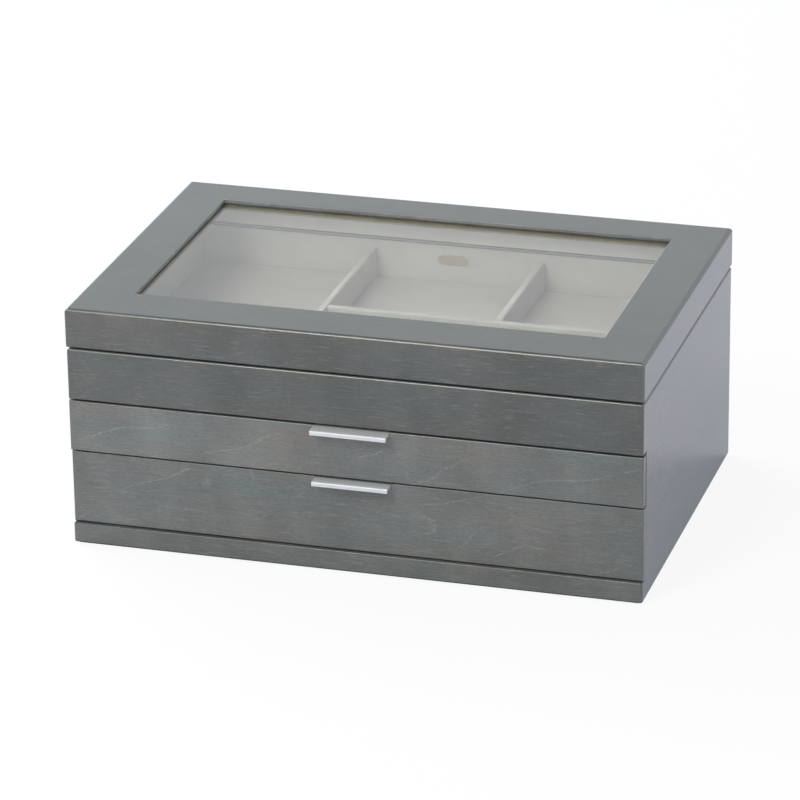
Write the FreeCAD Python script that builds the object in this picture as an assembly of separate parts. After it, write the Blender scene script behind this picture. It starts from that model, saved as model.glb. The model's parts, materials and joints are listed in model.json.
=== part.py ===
import FreeCAD, Part
import os

from FreeCAD import Vector

# A glass top jewelry box: a veneered case with a lined tray and two drawers, and a hinged lid with a window.
# Millimetres. The origin is the centre of the footprint on the underside; +X is right, +Y back and +Z up.

# Lid and case, outside
lid_width = 305.0
lid_depth = 202.0
lid_overhang = 0.3        # the lid stands this proud of the case on every side

# Heights of the bands, from the underside up
felt_thickness = 1.0
base_rail_height = 10.8
base_seam = 0.5
lower_front_height = 39.5
drawer_seam = 1.1         # above each drawer front
upper_front_height = 27.65
upper_panel_height = 27.65
lid_seam = 1.0
lid_height = 21.0

# Allowances of the modelling itself
cut_overrun = 1.0             # a cutting solid runs this far past what it cuts
tolerance = 0.01              # lengths closer than this count as equal

# Boards of the case and of the lid's rails
side_thickness = 7.5
front_thickness = 7.5
back_thickness = 7.5
inner_board_thickness = 3.0   # the drawer shelf and the tray floor
groove_depth = 3.0
groove_clearance = 0.1

# Rounded edges
corner_radius = 1.0
lid_top_radius = 2.0
lid_bottom_radius = 0.8
case_top_radius = 1.4
case_bottom_radius = 0.8
notch_radius = 0.5            # round the opening that the drawer fronts lie in
front_edge_radius = 0.6       # round the face of each drawer front

# Felt under the case
felt_inset = 2.0

# Window and glass
window_margin_side = 27.75
window_margin_front = 30.3
window_margin_back = 24.7
window_lip = 2.5              # wood above the glass
window_arris = 0.4
glass_thickness = 2.0
glass_bearing = 6.0           # how far the glass goes past the window
glass_side_gap = 0.5
glass_bedding = 0.3           # below the glass
retainer_thickness = 2.5

# Linings
liner_thickness = 1.5
tray_liner_setback = 1.0      # liner stops this far below the case's rim
lid_liner_setback = 0.1
lining_gap = 0.1
pad_thickness = 1.5

# Tray
tray_depth = 21.6             # from the case's rim to the top of the pad
divider_thickness = 4.0
divider_height = 16.5
divider_top_radius = 1.2
left_compartment_width = 96.1
middle_compartment_width = 90.5
back_compartment_depth = 88.7
ring_roll_count = 7
ring_roll_height = 14.5
ring_roll_gap = 0.4
ring_roll_end_radius = 2.5
ring_roll_crown_flat = 0.1    # half of the flat strip left along each crown
plate_length = 17.0           # a flat bar with half-round ends
plate_height = 5.6
plate_thickness = 0.4
plate_drop = 9.0              # from the case's rim to the plate's middle

# Drawers
drawer_front_thickness = 5.0
drawer_front_recess = 1.8     # a shut drawer's face lies this far behind the case's face
drawer_seat_gap = 0.1
upper_drawer_ajar = 1.5       # the upper drawer rests this far open
lower_drawer_ajar = 0.0
drawer_side_gap = 0.5
drawer_running_gap = 0.3
drawer_rear_gap = 3.0
drawer_headroom = 3.0
drawer_wall_thickness = 6.0
drawer_bottom_thickness = 3.0
drawer_bottom_lift = 1.0      # the bottom lies this far above the walls' lower edge
drawer_groove_depth = 2.5
drawer_liner_thickness = 1.2
drawer_liner_setback = 1.0
drawer_pad_thickness = 1.5
drawer_divider_thickness = 4.0
drawer_divider_height = 14.0
drawer_divider_spacing = 92.0

# Pulls
pull_length = 40.3
pull_thickness = 1.2
pull_reach = 7.0              # in front of the drawer's face
pull_sink = 0.35              # its top lies this far below the front's top edge
pull_lip = 2.5
pull_leg = 13.0
pull_nose_radius = 1.0
pull_lip_radius = 0.4
pull_fit = 0.1
pull_screw_spacing = 24.0
pull_screw_drop = 8.5         # from the pull's top
pull_screw_length = 4.2

# Hinges
hinge_length = 30.0
hinge_spacing = 190.0
leaf_thickness = 0.9
leaf_reach = 5.5              # from the back face into the board
knuckle_radius = 1.9
knuckle_gap = 0.2             # between the knuckle and the lid's back face
knuckle_end_gap = 0.3
pin_radius = 0.8
pin_clearance = 0.05
pin_head_radius = 1.3
pin_head_height = 0.5
pin_end_play = 0.03           # under each head
leaf_clearance = 0.1
hinge_screw_spacing = 20.0
hinge_screw_length = 8.0

# Screws
screw_radius = 0.9
screw_head_radius = 1.6
screw_tip_length = 1.4
screw_clearance = 0.03
slot_width = 0.45
slot_depth = 0.35

# Bumpers under the lid
bumper_radius = 2.5
bumper_spacing = 260.0
bumper_gap = 0.1

# Outlines in plan, as (low, high) along each axis
lid_x = (-lid_width / 2, lid_width / 2)
lid_y = (-lid_depth / 2, lid_depth / 2)
case_x = (lid_x[0] + lid_overhang, lid_x[1] - lid_overhang)
case_y = (lid_y[0] + lid_overhang, lid_y[1] - lid_overhang)
bay_x = (case_x[0] + side_thickness, case_x[1] - side_thickness)
bay_y = (case_y[0] + front_thickness, case_y[1] - back_thickness)
lid_inner_x = (lid_x[0] + side_thickness, lid_x[1] - side_thickness)
lid_inner_y = (lid_y[0] + front_thickness, lid_y[1] - back_thickness)
window_x = (lid_x[0] + window_margin_side, lid_x[1] - window_margin_side)
window_y = (lid_y[0] + window_margin_front, lid_y[1] - window_margin_back)
tray_x = (bay_x[0] + liner_thickness, bay_x[1] - liner_thickness)
tray_y = (bay_y[0] + liner_thickness, bay_y[1] - liner_thickness)

# Heights, from the underside up
case_bottom = felt_thickness
base_top = case_bottom + base_rail_height
lower_front_bottom = base_top + base_seam
lower_front_top = lower_front_bottom + lower_front_height
upper_front_bottom = lower_front_top + drawer_seam
upper_front_top = upper_front_bottom + upper_front_height
upper_panel_bottom = upper_front_top + drawer_seam
case_top = upper_panel_bottom + upper_panel_height
lid_bottom = case_top + lid_seam
lid_top = lid_bottom + lid_height
shelf_top = upper_front_bottom - drawer_running_gap
shelf_bottom = shelf_top - inner_board_thickness
pad_top = case_top - tray_depth
tray_board_top = pad_top - pad_thickness
tray_board_bottom = tray_board_top - inner_board_thickness
tray_liner_top = case_top - tray_liner_setback
divider_top = pad_top + divider_height
glass_top = lid_top - window_lip
glass_bottom = glass_top - glass_thickness
lid_panel_bottom = glass_bottom - glass_bedding
retainer_bottom = lid_panel_bottom - retainer_thickness

# Places that several pieces share
notch_y = case_y[0] + drawer_front_recess + drawer_front_thickness + drawer_seat_gap
hinge_axis_y = lid_y[1] + knuckle_gap + knuckle_radius
hinge_axis_z = (case_top + lid_bottom) / 2
long_divider_x = tray_x[0] + left_compartment_width
cross_divider_y = tray_y[1] - back_compartment_depth - divider_thickness
right_tray_x = (long_divider_x + divider_thickness, tray_x[1])
back_divider_x = right_tray_x[0] + middle_compartment_width


def shrunk(span, amount):
    """The span drawn in by an amount at both ends; a negative amount widens it."""
    return (span[0] + amount, span[1] - amount)


def block(x, y, z):
    """A box between two values on each axis."""
    return Part.makeBox(x[1] - x[0], y[1] - y[0], z[1] - z[0], Vector(x[0], y[0], z[0]))


def plan_prism(points, z):
    """A prism on a polygon in plan."""
    corners = [Vector(x, y, z[0]) for x, y in points]
    face = Part.Face(Part.makePolygon(corners + corners[:1]))
    return face.extrude(Vector(0, 0, z[1] - z[0]))


def side_prism(points, x):
    """A prism along X on a polygon of (y, z) points."""
    corners = [Vector(x[0], y, z) for y, z in points]
    face = Part.Face(Part.makePolygon(corners + corners[:1]))
    return face.extrude(Vector(x[1] - x[0], 0, 0))


def same(a, b):
    """True where two lengths are equal but for rounding."""
    return abs(a - b) < tolerance


def upright_edges(shape):
    """The straight edges along Z."""
    upright = []
    for edge in shape.Edges:
        box = edge.BoundBox
        if same(box.XLength, 0) and same(box.YLength, 0) and box.ZLength > tolerance:
            upright.append(edge)
    return upright


def level_edges(shape, z):
    """The edges that lie at one height."""
    return [e for e in shape.Edges if same(e.BoundBox.ZMin, z) and same(e.BoundBox.ZMax, z)]


def rounded_envelope(x, y, z, top_radius, bottom_radius):
    """The outside of a box-shaped piece of joinery, with its corners and edges rounded."""
    shape = block(x, y, z)
    shape = shape.makeFillet(corner_radius, upright_edges(shape))
    shape = shape.makeFillet(top_radius, level_edges(shape, z[1]))
    return shape.makeFillet(bottom_radius, level_edges(shape, z[0]))


def case_envelope():
    """The outside of the case, with the notch that the drawer fronts lie in."""
    shape = rounded_envelope(case_x, case_y, (case_bottom, case_top), case_top_radius, case_bottom_radius)
    notch_x = shrunk(case_x, -cut_overrun)
    notch = block(notch_x, (case_y[0] - cut_overrun, notch_y), (base_top, upper_panel_bottom))
    shape = shape.cut(notch)
    rim = []
    for edge in shape.Edges:
        box = edge.BoundBox
        in_height = box.ZMin > base_top - tolerance and box.ZMax < upper_panel_bottom + tolerance
        across_notch_back = same(box.YMin, notch_y) and box.XLength > box.ZLength
        if in_height and box.YMax < notch_y + tolerance and not across_notch_back:
            rim.append(edge)
    return shape.makeFillet(notch_radius, rim)


def lid_envelope():
    return rounded_envelope(lid_x, lid_y, (lid_bottom, lid_top), lid_top_radius, lid_bottom_radius)


def front_board(outer_x, outer_y, z):
    """A board along the front, mitred to the sides at both ends."""
    back = outer_y[0] + front_thickness
    inner_x = shrunk(outer_x, side_thickness)
    outline = [(outer_x[0], outer_y[0]), (outer_x[1], outer_y[0]), (inner_x[1], back), (inner_x[0], back)]
    return plan_prism(outline, z)


def back_board(outer_x, outer_y, z):
    """A board along the back, mitred to the sides at both ends."""
    front = outer_y[1] - back_thickness
    inner_x = shrunk(outer_x, side_thickness)
    outline = [(outer_x[0], outer_y[1]), (outer_x[1], outer_y[1]), (inner_x[1], front), (inner_x[0], front)]
    return plan_prism(outline, z)


def left_board(outer_x, outer_y, z):
    """A board along the left side, mitred at both ends."""
    inner = outer_x[0] + side_thickness
    outline = [
        (outer_x[0], outer_y[0]),
        (inner, outer_y[0] + front_thickness),
        (inner, outer_y[1] - back_thickness),
        (outer_x[0], outer_y[1]),
    ]
    return plan_prism(outline, z)


def mirrored(shape):
    """The same piece for the other side of the box."""
    return shape.mirror(Vector(0, 0, 0), Vector(1, 0, 0))


def countersunk_screw(tip, direction, length):
    """A countersunk wood screw with a straight slot; tip is its point and direction runs to its head."""
    head_depth = screw_head_radius - screw_radius
    outline = [
        Vector(0, 0, 0),
        Vector(screw_radius, 0, screw_tip_length),
        Vector(screw_radius, 0, length - head_depth),
        Vector(screw_head_radius, 0, length),
        Vector(0, 0, length),
    ]
    face = Part.Face(Part.makePolygon(outline + outline[:1]))
    screw = face.revolve(Vector(0, 0, 0), Vector(0, 0, 1), 360)
    slot_half = screw_head_radius + cut_overrun
    slot_z = (length - slot_depth, length + cut_overrun)
    screw = screw.cut(block((-slot_width / 2, slot_width / 2), (-slot_half, slot_half), slot_z))
    screw.Placement = FreeCAD.Placement(tip, FreeCAD.Rotation(Vector(0, 0, 1), direction))
    return screw


def screw_hole(tip, direction, length):
    """The hole that a countersunk screw needs, with its countersink running out past the head."""
    head_depth = screw_head_radius - screw_radius
    radius = screw_radius + screw_clearance
    head_radius = screw_head_radius + screw_clearance
    outline = [
        Vector(0, 0, -screw_clearance),
        Vector(radius, 0, screw_tip_length - screw_clearance),
        Vector(radius, 0, length - head_depth),
        Vector(head_radius, 0, length),
        Vector(head_radius, 0, length + screw_head_radius),
        Vector(0, 0, length + screw_head_radius),
    ]
    face = Part.Face(Part.makePolygon(outline + outline[:1]))
    hole = face.revolve(Vector(0, 0, 0), Vector(0, 0, 1), 360)
    hole.Placement = FreeCAD.Placement(tip, FreeCAD.Rotation(Vector(0, 0, 1), direction))
    return hole


def hinge_centres():
    return [-hinge_spacing / 2, hinge_spacing / 2]


def hinge_screw_places(board_back_y, z, direction):
    """Screw points of one row of leaves: (point of the screw, way to its head)."""
    y = board_back_y - leaf_reach / 2
    places = []
    for centre in hinge_centres():
        for side in (-1, 1):
            head = Vector(centre + side * hinge_screw_spacing / 2, y, z)
            places.append((head - direction * hinge_screw_length, direction))
    return places


case_screw_places = hinge_screw_places(case_y[1], case_top, Vector(0, 0, 1))
lid_screw_places = hinge_screw_places(lid_y[1], lid_bottom, Vector(0, 0, -1))


def inner_board_grooves():
    """The spaces that the drawer shelf and the tray floor take up in the boards round them."""
    x = shrunk(bay_x, -groove_depth)
    y = shrunk(bay_y, -groove_depth)
    shelf = block(x, (case_y[0], y[1]), (shelf_bottom, shelf_top))
    tray_floor = block(x, y, (tray_board_bottom, tray_board_top))
    return shelf.fuse(tray_floor)


def hinge_mortises(back_y, z):
    """Shallow seats for two leaves in a board's edge, open to the back."""
    seats = []
    for centre in hinge_centres():
        half = hinge_length / 2 + leaf_clearance
        y = (back_y - leaf_reach - leaf_clearance, back_y + knuckle_radius)
        seats.append(block((centre - half, centre + half), y, z))
    return Part.makeCompound(seats)


def side_panel_left():
    board = left_board(case_x, case_y, (case_bottom, case_top)).common(case_envelope())
    return board.cut(inner_board_grooves())


def side_panel_right():
    return mirrored(side_panel_left())


def back_panel():
    board = back_board(case_x, case_y, (case_bottom, case_top)).common(case_envelope())
    seats = hinge_mortises(case_y[1], (case_top - leaf_thickness, case_top + cut_overrun))
    board = board.cut(inner_board_grooves()).cut(seats)
    for tip, direction in case_screw_places:
        board = board.cut(screw_hole(tip, direction, hinge_screw_length))
    return board


def upper_front_panel():
    board = front_board(case_x, case_y, (upper_panel_bottom, case_top)).common(case_envelope())
    return board.cut(inner_board_grooves())


def base_front_rail():
    return front_board(case_x, case_y, (case_bottom, base_top)).common(case_envelope())


def bottom_board():
    return block(bay_x, bay_y, (case_bottom, base_top))


def base_felt():
    return block(shrunk(case_x, felt_inset), shrunk(case_y, felt_inset), (0, felt_thickness))


def drawer_shelf():
    reach = groove_depth - groove_clearance
    return block(shrunk(bay_x, -reach), (notch_y, bay_y[1] + reach), (shelf_bottom, shelf_top))


def tray_floor_board():
    reach = groove_depth - groove_clearance
    return block(shrunk(bay_x, -reach), shrunk(bay_y, -reach), (tray_board_bottom, tray_board_top))


def tray_floor_pad():
    return block(shrunk(tray_x, lining_gap), shrunk(tray_y, lining_gap), (tray_board_top, pad_top))


def tray_liner(x, y):
    return block(x, y, (tray_board_top, tray_liner_top))


def soft_topped_divider(x, y):
    """A padded divider on the tray's floor, rounded along both of its top edges."""
    shape = block(x, y, (pad_top, divider_top))
    along_x = x[1] - x[0] > y[1] - y[0]
    long_edges = []
    for edge in level_edges(shape, divider_top):
        runs_along_x = edge.BoundBox.XLength > edge.BoundBox.YLength
        if runs_along_x == along_x:
            long_edges.append(edge)
    return shape.makeFillet(divider_top_radius, long_edges)


def tray_divider_long():
    x = (long_divider_x, long_divider_x + divider_thickness)
    return soft_topped_divider(x, shrunk(tray_y, lining_gap))


def tray_divider_cross():
    y = (cross_divider_y, cross_divider_y + divider_thickness)
    return soft_topped_divider(shrunk(right_tray_x, lining_gap), y)


def tray_divider_back():
    y = shrunk((cross_divider_y + divider_thickness, tray_y[1]), lining_gap)
    return soft_topped_divider((back_divider_x, back_divider_x + divider_thickness), y)


def ring_rolls():
    """Padded rolls side by side, flat below and round above, in front of the cross divider."""
    x = shrunk(right_tray_x, ring_roll_gap)
    pitch = (cross_divider_y - tray_y[0] - ring_roll_gap) / ring_roll_count
    width = pitch - ring_roll_gap
    rolls = []
    for number in range(ring_roll_count):
        front = tray_y[0] + ring_roll_gap + number * pitch
        crown_z = pad_top + ring_roll_height
        shape = block(x, (front, front + width), (pad_top, crown_z))
        crown = [e for e in level_edges(shape, crown_z) if same(e.BoundBox.YLength, 0)]
        shape = shape.makeFillet(width / 2 - ring_roll_crown_flat, crown)
        rims = [e for e in shape.Edges if same(e.BoundBox.XLength, 0)]
        soft_rims = [e for e in rims if e.BoundBox.ZMax > pad_top + tolerance]
        rolls.append(shape.makeFillet(ring_roll_end_radius, soft_rims))
    return Part.makeCompound(rolls)


def blank_oval_plate():
    """A bare plate with half-round ends on the tray's back liner."""
    radius = plate_height / 2
    end_x = plate_length / 2 - radius
    plate = block((-end_x, end_x), (-radius, radius), (0, plate_thickness))
    for x in (-end_x, end_x):
        plate = plate.fuse(Part.makeCylinder(radius, plate_thickness, Vector(x, 0, 0)))
    plate = plate.removeSplitter()
    plate.Placement = FreeCAD.Placement(
        Vector(0, tray_y[1], case_top - plate_drop), FreeCAD.Rotation(Vector(1, 0, 0), 90)
    )
    return plate


def knuckle_spans(centre):
    """Along the hinge: the case's two outer knuckles and the lid's middle one."""
    half = hinge_length / 2
    sixth = hinge_length / 6
    middle = shrunk((centre - sixth, centre + sixth), knuckle_end_gap / 2)
    outer = [(centre - half, middle[0] - knuckle_end_gap), (middle[1] + knuckle_end_gap, centre + half)]
    return outer, middle


def rod_along_x(x, radius):
    return Part.makeCylinder(radius, x[1] - x[0], Vector(x[0], hinge_axis_y, hinge_axis_z), Vector(1, 0, 0))


def hinge_leaf(centre, board_back_y, z, own_spans, other_spans):
    """A leaf let into a board's edge, with its own knuckles, clear of the other leaf's."""
    half = hinge_length / 2
    leaf = block((centre - half, centre + half), (board_back_y - leaf_reach, hinge_axis_y), z)
    for span in other_spans:
        clear = knuckle_radius + knuckle_end_gap
        leaf = leaf.cut(rod_along_x(shrunk(span, -knuckle_end_gap), clear))
    for span in own_spans:
        leaf = leaf.fuse(rod_along_x(span, knuckle_radius))
    bore = rod_along_x((centre - half - cut_overrun, centre + half + cut_overrun), pin_radius + pin_clearance)
    return leaf.cut(bore).removeSplitter()


def hinge_leaves_case():
    leaves = []
    for centre in hinge_centres():
        outer, middle = knuckle_spans(centre)
        leaf = hinge_leaf(centre, case_y[1], (case_top - leaf_thickness, case_top), outer, [middle])
        for tip, direction in case_screw_places:
            leaf = leaf.cut(screw_hole(tip, direction, hinge_screw_length))
        leaves.append(leaf)
    return Part.makeCompound(leaves)


def hinge_leaves_lid():
    leaves = []
    for centre in hinge_centres():
        outer, middle = knuckle_spans(centre)
        leaf = hinge_leaf(centre, lid_y[1], (lid_bottom, lid_bottom + leaf_thickness), [middle], outer)
        for tip, direction in lid_screw_places:
            leaf = leaf.cut(screw_hole(tip, direction, hinge_screw_length))
        leaves.append(leaf)
    return Part.makeCompound(leaves)


def hinge_pins():
    """A pin through each hinge, with a flat head at both ends."""
    pins = []
    for centre in hinge_centres():
        span = shrunk((centre - hinge_length / 2, centre + hinge_length / 2), -pin_end_play)
        pin = rod_along_x(span, pin_radius)
        left_head = rod_along_x((span[0] - pin_head_height, span[0]), pin_head_radius)
        right_head = rod_along_x((span[1], span[1] + pin_head_height), pin_head_radius)
        pins.append(pin.fuse(left_head).fuse(right_head).removeSplitter())
    return Part.makeCompound(pins)


def screws_at(places, length):
    return Part.makeCompound([countersunk_screw(tip, direction, length) for tip, direction in places])


def lid_top_frame():
    """The veneered top of the lid, with the window and the rabbet that the glass lies in."""
    slab = block(lid_x, lid_y, (lid_panel_bottom, lid_top)).common(lid_envelope())
    below = lid_panel_bottom - cut_overrun
    window = block(window_x, window_y, (below, lid_top + cut_overrun))
    rabbet = block(shrunk(window_x, -glass_bearing), shrunk(window_y, -glass_bearing), (below, glass_top))
    frame = slab.cut(window).cut(rabbet)
    arris = []
    for edge in level_edges(frame, lid_top):
        box = edge.BoundBox
        within_x = box.XMin > window_x[0] - tolerance and box.XMax < window_x[1] + tolerance
        within_y = box.YMin > window_y[0] - tolerance and box.YMax < window_y[1] + tolerance
        if within_x and within_y:
            arris.append(edge)
    return frame.makeFillet(window_arris, arris)


def lid_rail_z():
    return (lid_bottom, lid_panel_bottom)


def lid_rail_front():
    return front_board(lid_x, lid_y, lid_rail_z()).common(lid_envelope())


def lid_rail_back():
    board = back_board(lid_x, lid_y, lid_rail_z()).common(lid_envelope())
    board = board.cut(hinge_mortises(lid_y[1], (lid_bottom - cut_overrun, lid_bottom + leaf_thickness)))
    for tip, direction in lid_screw_places:
        board = board.cut(screw_hole(tip, direction, hinge_screw_length))
    return board


def lid_rail_left():
    return left_board(lid_x, lid_y, lid_rail_z()).common(lid_envelope())


def lid_rail_right():
    return mirrored(lid_rail_left())


def glass_panel():
    reach = glass_bearing - glass_side_gap
    return block(shrunk(window_x, -reach), shrunk(window_y, -reach), (glass_bottom, glass_top))


def glass_retainer_strips():
    """Four covered strips under the lid's top that close its margins and hold the glass up."""
    z = (retainer_bottom, lid_panel_bottom)
    strips = [
        block(lid_inner_x, (lid_inner_y[0], window_y[0]), z),
        block(lid_inner_x, (window_y[1], lid_inner_y[1]), z),
        block((lid_inner_x[0], window_x[0]), window_y, z),
        block((window_x[1], lid_inner_x[1]), window_y, z),
    ]
    return Part.makeCompound(strips)


def lid_liner(x, y):
    return block(x, y, (lid_bottom + lid_liner_setback, retainer_bottom))


def lid_bumpers():
    """Two felt dots under the lid's front rail, at its inner edge, that land on the case's rim."""
    height = lid_seam - bumper_gap
    y = lid_inner_y[0] - bumper_radius
    dots = []
    for side in (-1, 1):
        base = Vector(side * bumper_spacing / 2, y, lid_bottom - height)
        dots.append(Part.makeCylinder(bumper_radius, height, base))
    return Part.makeCompound(dots)


class Drawer:
    """Sizes and places of one drawer; open_by is how far it stands out at rest."""

    def __init__(self, front_z, floor_z, wall_top, open_by):
        self.front_z = front_z
        self.face_y = case_y[0] + drawer_front_recess - open_by
        self.board_back_y = self.face_y + drawer_front_thickness
        self.rear_y = bay_y[1] - drawer_rear_gap - open_by
        self.outer_x = shrunk(bay_x, drawer_side_gap)
        self.inner_x = shrunk(self.outer_x, drawer_wall_thickness)
        self.inner_y = (self.board_back_y, self.rear_y - drawer_wall_thickness)
        self.wall_z = (floor_z, wall_top)
        self.bottom_z = (floor_z + drawer_bottom_lift, floor_z + drawer_bottom_lift + drawer_bottom_thickness)
        self.liner_z = (self.bottom_z[1], wall_top - drawer_liner_setback)
        self.pad_z = (self.bottom_z[1], self.bottom_z[1] + drawer_pad_thickness)
        self.lined_x = shrunk(self.inner_x, drawer_liner_thickness)
        self.lined_y = shrunk(self.inner_y, drawer_liner_thickness)
        self.pull_top = front_z[1] - pull_sink

    def bottom_space(self):
        """The space that the bottom's edges take up in the walls."""
        x = shrunk(self.inner_x, -drawer_groove_depth)
        y = shrunk(self.inner_y, -drawer_groove_depth)
        return block(x, y, self.bottom_z)

    def screw_places(self):
        """The pull's two screws, driven forward from behind the drawer front."""
        z = self.pull_top - pull_screw_drop
        tip_y = self.board_back_y - pull_screw_length
        return [(Vector(side * pull_screw_spacing / 2, tip_y, z), Vector(0, 1, 0)) for side in (-1, 1)]

    def front(self):
        """The full-width front board, with a seat for the pull over its top edge and down its back."""
        board = block(case_x, (self.face_y, self.board_back_y), self.front_z)
        level = [e for e in board.Edges if same(e.BoundBox.YLength, 0)]
        face_edges = [e for e in level if same(e.BoundBox.YMin, self.face_y)]
        board = board.makeFillet(front_edge_radius, face_edges)
        half = pull_length / 2 + pull_fit
        top = self.pull_top
        above = self.front_z[1] + cut_overrun
        behind = self.board_back_y + cut_overrun
        over_top = block((-half, half), (self.face_y - cut_overrun, behind), (top - pull_thickness, above))
        leg_z = (top - pull_leg - pull_fit, above)
        down_back = block((-half, half), (self.board_back_y - pull_thickness, behind), leg_z)
        board = board.cut(over_top).cut(down_back).cut(self.bottom_space())
        for tip, direction in self.screw_places():
            board = board.cut(screw_hole(tip, direction, pull_screw_length))
        return board

    def side_left(self):
        wall = block((self.outer_x[0], self.inner_x[0]), (self.board_back_y, self.rear_y), self.wall_z)
        return wall.cut(self.bottom_space())

    def side_right(self):
        return mirrored(self.side_left())

    def back(self):
        wall = block(self.inner_x, (self.inner_y[1], self.rear_y), self.wall_z)
        return wall.cut(self.bottom_space())

    def bottom(self):
        reach = drawer_groove_depth - groove_clearance
        return block(shrunk(self.inner_x, -reach), shrunk(self.inner_y, -reach), self.bottom_z)

    def pad(self):
        return block(shrunk(self.lined_x, lining_gap), shrunk(self.lined_y, lining_gap), self.pad_z)

    def liners(self):
        """Four covered cards that line the walls."""
        cards = [
            block(self.inner_x, (self.inner_y[0], self.lined_y[0]), self.liner_z),
            block(self.inner_x, (self.lined_y[1], self.inner_y[1]), self.liner_z),
            block((self.inner_x[0], self.lined_x[0]), self.lined_y, self.liner_z),
            block((self.lined_x[1], self.inner_x[1]), self.lined_y, self.liner_z),
        ]
        return Part.makeCompound(cards)

    def dividers(self):
        """Two covered cards from front to back that part the drawer in three."""
        z = (self.pad_z[1], self.pad_z[1] + drawer_divider_height)
        half = drawer_divider_thickness / 2
        cards = []
        for side in (-1, 1):
            x = side * drawer_divider_spacing / 2
            cards.append(block((x - half, x + half), shrunk(self.lined_y, lining_gap), z))
        return Part.makeCompound(cards)

    def pull(self):
        """A bent metal pull: a leg behind the front, a plate over its top edge and a lip in front."""
        top = self.pull_top
        nose_y = self.face_y - pull_reach
        back_y = self.board_back_y
        outline = [
            (nose_y, top),
            (back_y, top),
            (back_y, top - pull_leg),
            (back_y - pull_thickness, top - pull_leg),
            (back_y - pull_thickness, top - pull_thickness),
            (nose_y + pull_thickness, top - pull_thickness),
            (nose_y + pull_thickness, top - pull_lip),
            (nose_y, top - pull_lip),
        ]
        half = pull_length / 2
        shape = side_prism(outline, (-half, half))
        nose = [e for e in level_edges(shape, top) if same(e.BoundBox.YMax, nose_y)]
        shape = shape.makeFillet(pull_nose_radius, nose)
        lip = [e for e in level_edges(shape, top - pull_lip) if same(e.BoundBox.YLength, 0)]
        shape = shape.makeFillet(pull_lip_radius, lip)
        for tip, direction in self.screw_places():
            shape = shape.cut(screw_hole(tip, direction, pull_screw_length))
        return shape

    def pull_screws(self):
        return screws_at(self.screw_places(), pull_screw_length)

    def pieces(self):
        return {
            "front": self.front(),
            "side_left": self.side_left(),
            "side_right": self.side_right(),
            "back": self.back(),
            "bottom": self.bottom(),
            "pad": self.pad(),
            "liners": self.liners(),
            "pull": self.pull(),
            "pull_screws": self.pull_screws(),
        }


def case_pieces():
    return {
        "side_panel_left": side_panel_left(),
        "side_panel_right": side_panel_right(),
        "back_panel": back_panel(),
        "upper_front_panel": upper_front_panel(),
        "base_front_rail": base_front_rail(),
        "bottom_board": bottom_board(),
        "base_felt": base_felt(),
        "drawer_shelf": drawer_shelf(),
        "tray_floor_board": tray_floor_board(),
        "tray_floor_pad": tray_floor_pad(),
        "tray_liner_front": tray_liner(bay_x, (bay_y[0], tray_y[0])),
        "tray_liner_back": tray_liner(bay_x, (tray_y[1], bay_y[1])),
        "tray_liner_left": tray_liner((bay_x[0], tray_x[0]), tray_y),
        "tray_liner_right": tray_liner((tray_x[1], bay_x[1]), tray_y),
        "tray_divider_long": tray_divider_long(),
        "tray_divider_cross": tray_divider_cross(),
        "tray_divider_back": tray_divider_back(),
        "ring_rolls": ring_rolls(),
        "blank_oval_plate": blank_oval_plate(),
        "hinge_leaves_case": hinge_leaves_case(),
        "hinge_pins": hinge_pins(),
        "hinge_screws_case": screws_at(case_screw_places, hinge_screw_length),
    }


def lid_pieces():
    lined_x = shrunk(lid_inner_x, liner_thickness)
    lined_y = shrunk(lid_inner_y, liner_thickness)
    return {
        "lid_top_frame": lid_top_frame(),
        "lid_rail_front": lid_rail_front(),
        "lid_rail_back": lid_rail_back(),
        "lid_rail_left": lid_rail_left(),
        "lid_rail_right": lid_rail_right(),
        "glass_panel": glass_panel(),
        "glass_retainer_strips": glass_retainer_strips(),
        "lid_liner_front": lid_liner(lid_inner_x, (lid_inner_y[0], lined_y[0])),
        "lid_liner_back": lid_liner(lid_inner_x, (lined_y[1], lid_inner_y[1])),
        "lid_liner_left": lid_liner((lid_inner_x[0], lined_x[0]), lined_y),
        "lid_liner_right": lid_liner((lined_x[1], lid_inner_x[1]), lined_y),
        "hinge_leaves_lid": hinge_leaves_lid(),
        "hinge_screws_lid": screws_at(lid_screw_places, hinge_screw_length),
        "lid_bumpers": lid_bumpers(),
    }


def drawer_pieces():
    upper = Drawer(
        (upper_front_bottom, upper_front_top),
        shelf_top + drawer_running_gap,
        upper_panel_bottom - drawer_headroom,
        upper_drawer_ajar,
    )
    lower = Drawer(
        (lower_front_bottom, lower_front_top),
        base_top + drawer_running_gap,
        shelf_bottom - drawer_headroom,
        lower_drawer_ajar,
    )
    pieces = {"upper_drawer_" + name: shape for name, shape in upper.pieces().items()}
    pieces["upper_drawer_dividers"] = upper.dividers()
    pieces.update({"lower_drawer_" + name: shape for name, shape in lower.pieces().items()})
    return pieces


os.makedirs("parts", exist_ok=True)
all_pieces = {**case_pieces(), **lid_pieces(), **drawer_pieces()}
for node, piece in all_pieces.items():
    piece.exportStep(f"parts/{node}.step")
print(len(all_pieces), "pieces")
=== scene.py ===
# %% [markdown]
# # A glass top jewelry box
# The solids of this box come from CAD and stay where they are. What is left for Blender is what CAD can't
# give: the stained and lacquered veneer, the bend and shine of the window, and everything soft, from the
# padded tray floor to the ring rolls. Each step says what a piece is on the real box, how it could be made,
# and why it is made the way it is.

# %% Load the frame
import json
import math

import bpy
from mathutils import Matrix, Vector, noise

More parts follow.
